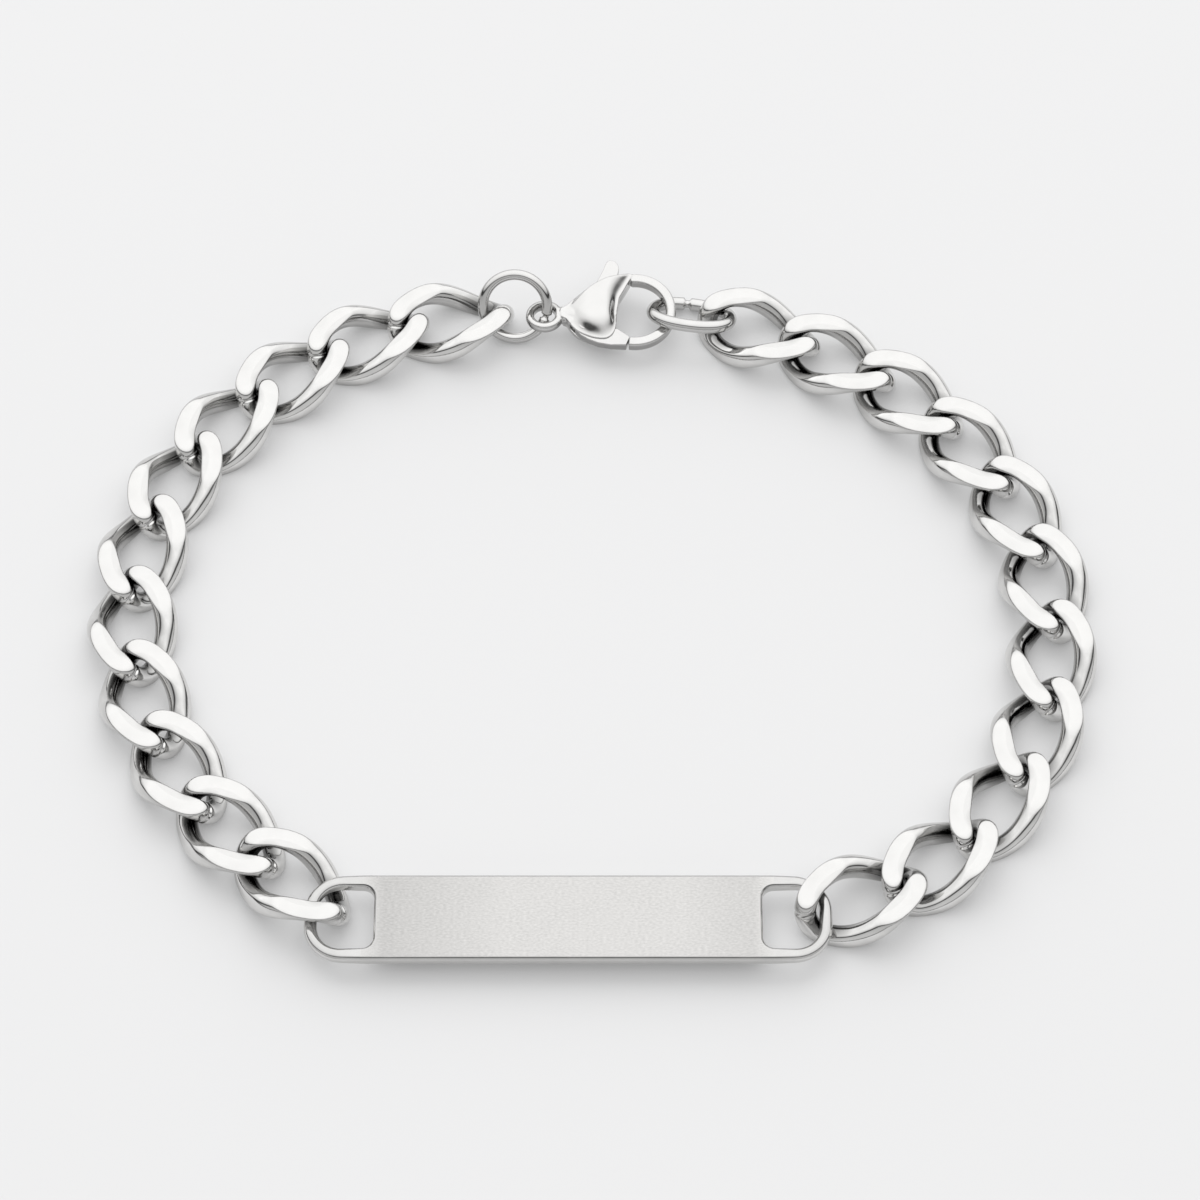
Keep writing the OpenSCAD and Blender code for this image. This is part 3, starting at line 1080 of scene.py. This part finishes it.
@dataclass
class ClaspBody:
    """The lobster clasp's cast body, with its hook and eye.

    Attributes:
        back: outline of the body from the neck over the back to the hook's root.
        mouth: its edge inside the hook, from that root.
        front: the rest, round the pin and back to the neck.
        flow: steps of a smooth outline from corner to corner.
        hook_x: middle of the hook along the clasp.
        hook_r: outer radius of the hook.
        hook_from: angle of its root.
        hook_to: angle of its tip.
        hook_steps: steps from root to tip.
        band: width of the hook's band.
        band_h: its height.
        band_r: radius of its edges.
        band_sides: points round it.
        under_ring: how much rounder they are under the end ring, at which angle and how far.
        slit: depth of the groove where the hook leaves the body, its angle and how far it goes.
        eye_x: distance from the hook's middle to the eye's.
        eye_r: radius of the eye, to the middle of its wire.
        eye_wire: width of its wire.
        eye_t: height of its wire.
        eye_flat: half width of the flat that is left on top of its wire.
        eye_turn: its turn about the clasp's length.
        eye_stations: places along its wire.
        wire_sides: points round that wire, and round the neck.
        neck: rows of the neck: place along the clasp, half width and half height.
        neck_at: how far the neck's middle is across and up.
        neck_from: place where the dome begins to rise out of the neck.
        neck_l: length over which it does.
        down: depth of the body under its middle.
        shell: height of the shell's straight wall.
        dome_foot: height of the dome's foot, inside the wall.
        dome_rim: height of its rim.
        rise: height of its top over the rim.
        peak: place of its top.
        dome_rings: rings of faces from the rim to the top.
        reach: how far the slope reaches in from a plain edge, and how much farther from an
            edge that faces the front and one that faces the hook.
        crest: how soon the slope comes to the top.
        merge: how closely the slope follows the nearest edge.
        slot_h: height of the slot that the lever moves in.
        neck_wall: wall between foot and shell at the neck.
        hook_wall: wall between them at the hook, up to the mouth.
        wall_half: half height of both walls, which run into foot and shell.
        grain: size of the casting's faces.
        passes: how often it is smoothed.
    """

    back: tuple[Point, ...] = ((-6.2, 0.42), (-5.75, 0.70), (-5.0, 1.38), (-3.75, 2.38),
                               (-2.5, 3.05), (-1.4, 3.32))
    mouth: tuple[Point, ...] = ((-0.55, 3.40), (-0.2, 3.22), (-0.75, 2.2), (-1.4, 1.1))
    front: tuple[Point, ...] = ((-1.7, -0.3), (-1.85, -1.6), (-2.2, -2.3), (-2.75, -2.62),
                                (-3.5, -2.55), (-4.2, -2.3), (-5.0, -1.82), (-5.5, -1.25),
                                (-5.85, -0.66), (-6.2, -0.4))
    flow: int = 6
    hook_x: float = -0.2
    hook_r: float = 3.42
    hook_from: float = 106.0
    hook_to: float = -102.0
    hook_steps: int = 104
    band: float = 0.84
    band_h: float = 1.04
    band_r: float = 0.2
    band_sides: int = 32
    under_ring: Triple = (0.2, -8.0, 26.0)
    slit: Triple = (0.24, 95.0, 2.0)
    eye_x: float = 7.43
    eye_r: float = 1.2
    eye_wire: float = 0.7
    eye_t: float = 0.88
    eye_flat: float = 0.01
    eye_turn: float = -11.0
    eye_stations: int = 60
    wire_sides: int = 20
    neck: tuple[Triple, ...] = ((-4.4, 1.2, 0.80), (-4.9, 1.1, 0.78), (-5.5, 0.90, 0.68),
                                (-5.95, 0.76, 0.60), (-6.3, 0.78, 0.52), (-6.7, 0.94, 0.44))
    neck_at: Point = (0.02, 0.03)
    neck_from: float = -6.2
    neck_l: float = 2.4
    down: float = 0.85
    shell: float = 0.54
    dome_foot: float = 0.3
    dome_rim: float = 0.5
    rise: float = 0.80
    peak: Point = (-2.75, 0.6)
    dome_rings: int = 36
    reach: Triple = (0.45, 0.95, 0.35)
    crest: float = 1.3
    merge: int = 6
    slot_h: float = 0.9
    neck_wall: tuple[Point, ...] = ((-6.3, 0.42), (-5.8, 0.66), (-5.22, 1.15), (-5.2, -0.5),
                                    (-5.4, -0.9), (-5.62, -1.08), (-5.9, -0.6), (-6.3, -0.36))
    hook_wall: tuple[Point, ...] = ((-1.68, -0.2), (-1.7, -0.5), (-1.95, -0.5), (-2.0, 1.0),
                                    (-1.15, 2.5), (-1.15, 3.34))
    wall_half: float = 0.6
    grain: float = 0.055
    passes: int = 7

    def _hook(self) -> Solid:
        """Bends the band of the hook from its root in the body round to its tip.

        Returns:
            Corners and faces.
        """
        r = self.hook_r - self.band / 2
        angles = [self.hook_from + (self.hook_to - self.hook_from) * k / self.hook_steps
                  for k in range(self.hook_steps + 1)]
        turns = [math.radians(angle) for angle in angles]

        def section(i: int, angle: float) -> Point:
            """Draws a soft rectangle, rounder where the end ring lies over it.

            Args:
                i: the station.
                angle: direction, in radians.

            Returns:
                The point of the section.
            """
            more, middle, spread = self.under_ring
            corner = self.band_r + more * bell(angles[i], middle, spread)
            deep, middle, spread = self.slit
            cut = deep * bell(angles[i], middle, spread)
            return rounded(self.band / 2 - cut, self.band_h / 2 - cut, corner, angle,
                           self.band_sides)

        return tube([on_circle(turn, r, self.hook_x) for turn in turns],
                    [on_circle(turn) for turn in turns], [UP] * len(turns), section,
                    self.band_sides, closed=False)

    def _eye(self) -> Solid:
        """Bends the ring of the eye, turned a little about the clasp's length.

        Returns:
            Corners and faces.
        """
        turn = Matrix.Rotation(math.radians(self.eye_turn), 3, "X")
        centre = Vector((self.hook_x - self.eye_x, 0, 0))
        ways = [on_circle(way) for way in circuit(self.eye_stations)]
        half_w, half_h = self.eye_wire / 2, self.eye_t / 2

        def section(_: int, angle: float) -> Point:
            """Wire of the eye, taller than wide and rounded almost to its middle."""
            return rounded(half_w, half_h, half_w - self.eye_flat, angle, self.wire_sides)

        return tube([centre + turn @ (way * self.eye_r) for way in ways],
                    [turn @ way for way in ways], [turn @ UP] * len(ways), section,
                    self.wire_sides, closed=True)

    def _neck(self) -> Solid:
        """Makes the waisted neck from the body to the eye.

        Returns:
            Corners and faces.
        """
        count = len(self.neck)

        def section(i: int, angle: float) -> Point:
            """Oval of the neck at a row."""
            return self.neck[i][1] * math.cos(angle), self.neck[i][2] * math.sin(angle)

        return tube([Vector((x, *self.neck_at)) for x, _, _ in self.neck],
                    [Vector((0, 1, 0))] * count, [UP] * count, section, self.wire_sides,
                    closed=False)

    def _slope(self, edges: Sequence[tuple[Point, Point, float]], x: float, y: float) -> float:
        """Finds how high the dome is at a point.

        Args:
            edges: ends of each edge of the plan, and how far the slope reaches in from it.
            x: place along the clasp.
            y: place across it.

        Returns:
            The share of the dome's rise, from 0 at the rim to 1 on the top.
        """
        total, least = 0.0, 0.01
        for (ax, ay), (bx, by), reach in edges:
            dx, dy = bx - ax, by - ay
            along = max(0.0, min(1.0, ((x - ax) * dx + (y - ay) * dy) / (dx * dx + dy * dy)))
            away = math.hypot(x - ax - dx * along, y - ay - dy * along)
            total += (max(away, least) / reach) ** -self.merge
        u = min(1.0, self.crest * total ** (-1 / self.merge))
        neck = max(0.0, min(1.0, (x - self.neck_from) / self.neck_l))
        return u * u * (3 - 2 * u) * neck * neck * (3 - 2 * neck)

    def _dome(self, plan: Sequence[Point]) -> Solid:
        """Raises the shell: steep at the back, hollowed to a rim at the front, low at the neck.

        Args:
            plan: outline of the body.

        Returns:
            Corners and faces.
        """
        (px, py), n, rings = self.peak, len(plan), self.dome_rings
        plain, to_front, to_hook = self.reach
        edges = []
        for (ax, ay), (bx, by) in zip(plan, list(plan[1:]) + [plan[0]]):
            long = math.hypot(bx - ax, by - ay)
            right, front = (ay - by) / long, (ax - bx) / long
            edges.append(((ax, ay), (bx, by),
                          plain + to_front * max(0.0, front) + to_hook * max(0.0, right)))
        points = [Vector((x, y, self.dome_foot)) for x, y in plan]
        for ring in range(rings):
            t = ring / rings
            for x, y in plan:
                x, y = x + (px - x) * t, y + (py - y) * t
                points.append(Vector((x, y, self.dome_rim + self.rise * self._slope(edges, x, y))))
        points.append(Vector((px, py, self.dome_rim + self.rise)))
        faces = [list(range(n))]
        for ring in range(rings):
            low, high = ring * n, (ring + 1) * n
            faces += [[low + k, low + (k + 1) % n, high + (k + 1) % n, high + k]
                      for k in range(n)]
        last = rings * n
        faces += [[last + k, last + (k + 1) % n, len(points) - 1] for k in range(n)]
        return points, faces

    def _body(self) -> bpy.types.Mesh:
        """Casts the body: domed shell, foot, the walls between them, hook, neck and eye.

        Returns:
            The mesh of the body.
        """
        plan = flowing(self.back + self.mouth + self.front, self.flow)
        slot, wall = self.slot_h / 2, self.wall_half
        solids = [prism(plan, slot, self.shell), self._dome(plan),
                  prism(plan, -self.down, -slot), prism(self.neck_wall, -wall, wall),
                  prism(self.hook_wall + self.mouth, -wall, wall),
                  self._hook(), self._neck(), self._eye()]
        return cast("clasp_casting", solids, self.grain, self.passes)

    def build(self) -> None:
        """Makes the body."""
        place(self._body(), "clasp_casting", CLASP_AT, [BRIGHT_CAST.material()],
              Body.BRACELET, "clasp_body")


@dataclass
class ClaspLever:
    """The clasp's cast lever, with gate, arm and thumb tab, and the pin that it turns on.

    Attributes:
        thick: thickness of the lever.
        heel: outline of its arm from the pin to the gate.
        nose: end of the gate.
        inner: outline of the arm from the gate back to the pin.
        ramp: outline of the gate's thicker end, before the nose.
        ramp_end: the last corner of that outline, behind the nose.
        ramp_half: half height of the thicker end, at the middle of the clasp.
        ramp_slope: how much higher it is with every millimetre from there towards the hook.
        spine: rows of the part that ends in the tab: its middle, and its width left and right.
        spine_side: direction across it.
        tab_y: place across the clasp where the tab begins.
        tab_straight: how much less its left side leans from there on.
        flow: steps of its smooth outline from corner to corner.
        grain: size of the casting's faces.
        passes: how often it is smoothed.
    """

    thick: float = 0.8
    heel: tuple[Point, ...] = ((-5.2, -1.55), (-4.8, -2.1), (-4.2, -2.55), (-3.4, -2.95),
                               (-2.4, -3.2))
    nose: tuple[Point, ...] = ((-1.6, -3.27), (-1.12, -3.32), (-0.78, -2.62), (-1.3, -2.1),
                               (-1.75, -1.75))
    inner: tuple[Point, ...] = ((-2.6, -1.3), (-3.9, -0.75), (-4.9, -0.75), (-5.2, -1.2))
    ramp: tuple[Point, ...] = ((-2.5, -3.18), (-2.2, -3.22))
    ramp_end: Point = (-1.95, -1.75)
    ramp_half: float = 0.575
    ramp_slope: float = 0.07
    spine: tuple[tuple[float, float, float, float], ...] = (
        (-4.5, -1.35, 0.72, 0.72), (-3.5, 0.6, 0.68, 0.68), (-2.5, 2.6, 0.70, 0.64),
        (-2.15, 3.3, 0.76, 0.68), (-1.9, 4.0, 0.66, 0.66), (-1.8, 4.42, 0.58, 0.60),
        (-1.76, 4.68, 0.42, 0.42), (-1.74, 4.84, 0.18, 0.18))
    spine_side: Point = (0.92, 0.4)
    tab_y: float = 3.0
    tab_straight: float = 0.6
    flow: int = 4
    grain: float = 0.045
    passes: int = 4

    def _lever(self) -> bpy.types.Mesh:
        """Casts the lever.

        Returns:
            The mesh of the lever.
        """
        half, (side_x, side_y) = self.thick / 2, self.spine_side
        bar = [(x + right * side_x, y - right * side_y) for x, y, _, right in self.spine]
        bar += [(x - left * side_x,
                 y + left * side_y * (1 - self.tab_straight * (y > self.tab_y)))
                for x, y, left, _ in reversed(self.spine)]
        gate = prism(self.ramp + self.nose + (self.ramp_end,), -1, 1)
        for p in gate[0]:
            # the half height of 1 becomes the real one at that place
            p.z *= self.ramp_half + self.ramp_slope * p.x
        solids = [prism(self.heel + self.nose + self.inner, -half, half), gate,
                  prism(flowing(bar, self.flow), -half, half)]
        return cast("lever_casting", solids, self.grain, self.passes)

    def build(self) -> None:
        """Makes the lever, and finishes the pin, which keeps its solid."""
        place(self._lever(), "lever_casting", CLASP_AT, [LEVER_CAST.material()],
              Body.LEVER, "clasp_lever")
        rivet = RIVET_WIRE.material()
        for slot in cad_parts["lever_pin"].material_slots:
            slot.material = rivet
        log.info("piece lever_pin: keeps its solid")


# Studio

@dataclass
class Studio:
    """Floor, lights and camera.

    Attributes:
        look: the point that the camera looks at.
        elevation: how high the camera stands over the floor.
        distance: its distance from that point.
        lens: its focal length.
        sensor: width of its picture.
        clip: nearest and farthest distance that it sees, in metres.
        floor_half: half the floor's length, in metres.
        floor_tone: colour of the paper.
        floor_rough: its roughness.
        floor_shine: its gloss.
        floor_glow: light of its own that keeps it pale.
        tent: direction of the white tent's middle.
        tent_light: brightness of the room.
        tent_stops: greys of the tent, from a right angle to its middle, which is at 1.
        horizon_stops: greys of the room, from the horizon up.
        box_at: place of the soft box, in metres.
        box: its length, in metres.
        box_power: its power, in watts.
    """

    look: Triple = (0.75, -0.08, 1.2)
    elevation: float = 57.9
    distance: float = 347.0
    lens: float = 131.34
    sensor: float = 36.0
    clip: Point = (0.01, 10.0)
    floor_half: float = 1.2
    floor_tone: Triple = (0.40, 0.40, 0.402)
    floor_rough: float = 0.9
    floor_shine: float = 0.1
    floor_glow: float = 0.22
    tent: Triple = (0.0, 0.531, 0.847)
    tent_light: float = 1.70
    tent_stops: tuple[Point, ...] = ((0.0, 0.42), (0.14, 0.36), (0.18, 0.04), (0.27, 0.05),
                                     (0.34, 0.50), (0.5, 0.80), (0.8, 0.95), (1.0, 1.0))
    horizon_stops: tuple[Point, ...] = ((0.0, 0.08), (0.04, 0.14), (0.09, 0.85), (0.2, 1.0))
    box_at: Triple = (-0.16, 1.26, 0.98)
    box: float = 2.0
    box_power: float = 24.0

    def _floor(self) -> None:
        """Lays the pale paper."""
        mesh = bpy.data.meshes.new("floor")
        s = self.floor_half
        mesh.from_pydata([(-s, -s, 0), (s, -s, 0), (s, s, 0), (-s, s, 0)], [], [(0, 1, 2, 3)])
        floor = bpy.data.objects.new("floor", mesh)
        bpy.context.scene.collection.objects.link(floor)
        paper = bpy.data.materials.new("floor_paper")
        paper.use_nodes = True
        shader = paper.node_tree.nodes["Principled BSDF"]
        shader.inputs["Base Color"].default_value = (*self.floor_tone, 1)
        shader.inputs["Roughness"].default_value = self.floor_rough
        shader.inputs["Specular IOR Level"].default_value = self.floor_shine
        shader.inputs["Emission Color"].default_value = (1, 1, 1, 1)
        shader.inputs["Emission Strength"].default_value = self.floor_glow
        mesh.materials.append(paper)

    def _greys(self, tree: bpy.types.NodeTree, value: Socket, stops: Sequence[Point]) -> Socket:
        """Turns a number into a grey.

        Args:
            tree: the room's nodes.
            value: the number.
            stops: values of the number and the greys that they give.

        Returns:
            The grey.
        """
        ramp = tree.nodes.new("ShaderNodeValToRGB")
        tree.links.new(value, ramp.inputs["Fac"])
        elements = ramp.color_ramp.elements
        elements[0].position, elements[1].position = stops[0][0], stops[-1][0]
        for at, _ in stops[1:-1]:
            elements.new(at)
        for element, (_, grey) in zip(elements, stops):
            element.color = (grey, grey, grey, 1)
        return ramp.outputs["Color"]

    def _room(self) -> None:
        """Puts a white tent with a dark rim in a grey room that darkens towards the horizon."""
        world = bpy.data.worlds.new("room")
        bpy.context.scene.world = world
        world.use_nodes = True
        tree = world.node_tree
        way = tree.nodes.new("ShaderNodeTexCoord").outputs["Generated"]
        parts = tree.nodes.new("ShaderNodeSeparateXYZ")
        tree.links.new(way, parts.inputs["Vector"])
        near = tree.nodes.new("ShaderNodeVectorMath")
        near.operation = "DOT_PRODUCT"
        near.inputs[1].default_value = self.tent
        tree.links.new(way, near.inputs[0])
        both = tree.nodes.new("ShaderNodeVectorMath")
        both.operation = "MULTIPLY"
        tent = self._greys(tree, near.outputs["Value"], self.tent_stops)
        horizon = self._greys(tree, parts.outputs["Z"], self.horizon_stops)
        tree.links.new(tent, both.inputs[0])
        tree.links.new(horizon, both.inputs[1])
        tree.links.new(both.outputs["Vector"], tree.nodes["Background"].inputs["Color"])
        tree.nodes["Background"].inputs["Strength"].default_value = self.tent_light

    def _soft_box(self) -> None:
        """Hangs the soft box at the back; it throws the soft shadows and isn't mirrored."""
        light = bpy.data.lights.new("soft_box_back", "AREA")
        light.shape, light.size, light.energy = "SQUARE", self.box, self.box_power
        lamp = bpy.data.objects.new("soft_box_back", light)
        bpy.context.scene.collection.objects.link(lamp)
        lamp.location = self.box_at
        lamp.visible_glossy = False
        lamp.rotation_euler = (-Vector(self.box_at)).to_track_quat("-Z", "Y").to_euler()

    def _camera(self) -> None:
        """Sets the camera as fitted to the photograph."""
        cam = bpy.data.cameras.new("camera")
        cam.sensor_width, cam.lens = self.sensor, self.lens
        cam.clip_start, cam.clip_end = self.clip
        view = bpy.data.objects.new("camera", cam)
        bpy.context.scene.collection.objects.link(view)
        up = math.radians(self.elevation)
        back = Vector((0, -math.cos(up), math.sin(up)))
        view.location = (Vector(self.look) + back * self.distance) * MM
        view.rotation_euler = (math.pi / 2 - up, 0, 0)
        bpy.context.scene.camera = view

    def build(self) -> None:
        """Sets up floor, light and camera."""
        self._floor()
        self._room()
        self._soft_box()
        self._camera()
        bpy.context.scene.view_settings.view_transform = "Standard"


def main() -> None:
    """Builds the bracelet and its studio."""
    logging.basicConfig(level=logging.INFO, format="%(name)s: %(message)s")
    for part in (CurbChain(), IdPlate(), WireRings(), ClaspBody(), ClaspLever(), Studio()):
        part.build()
        log.info("%s is built", type(part).__name__)


if __name__ == "__main__":
    main()
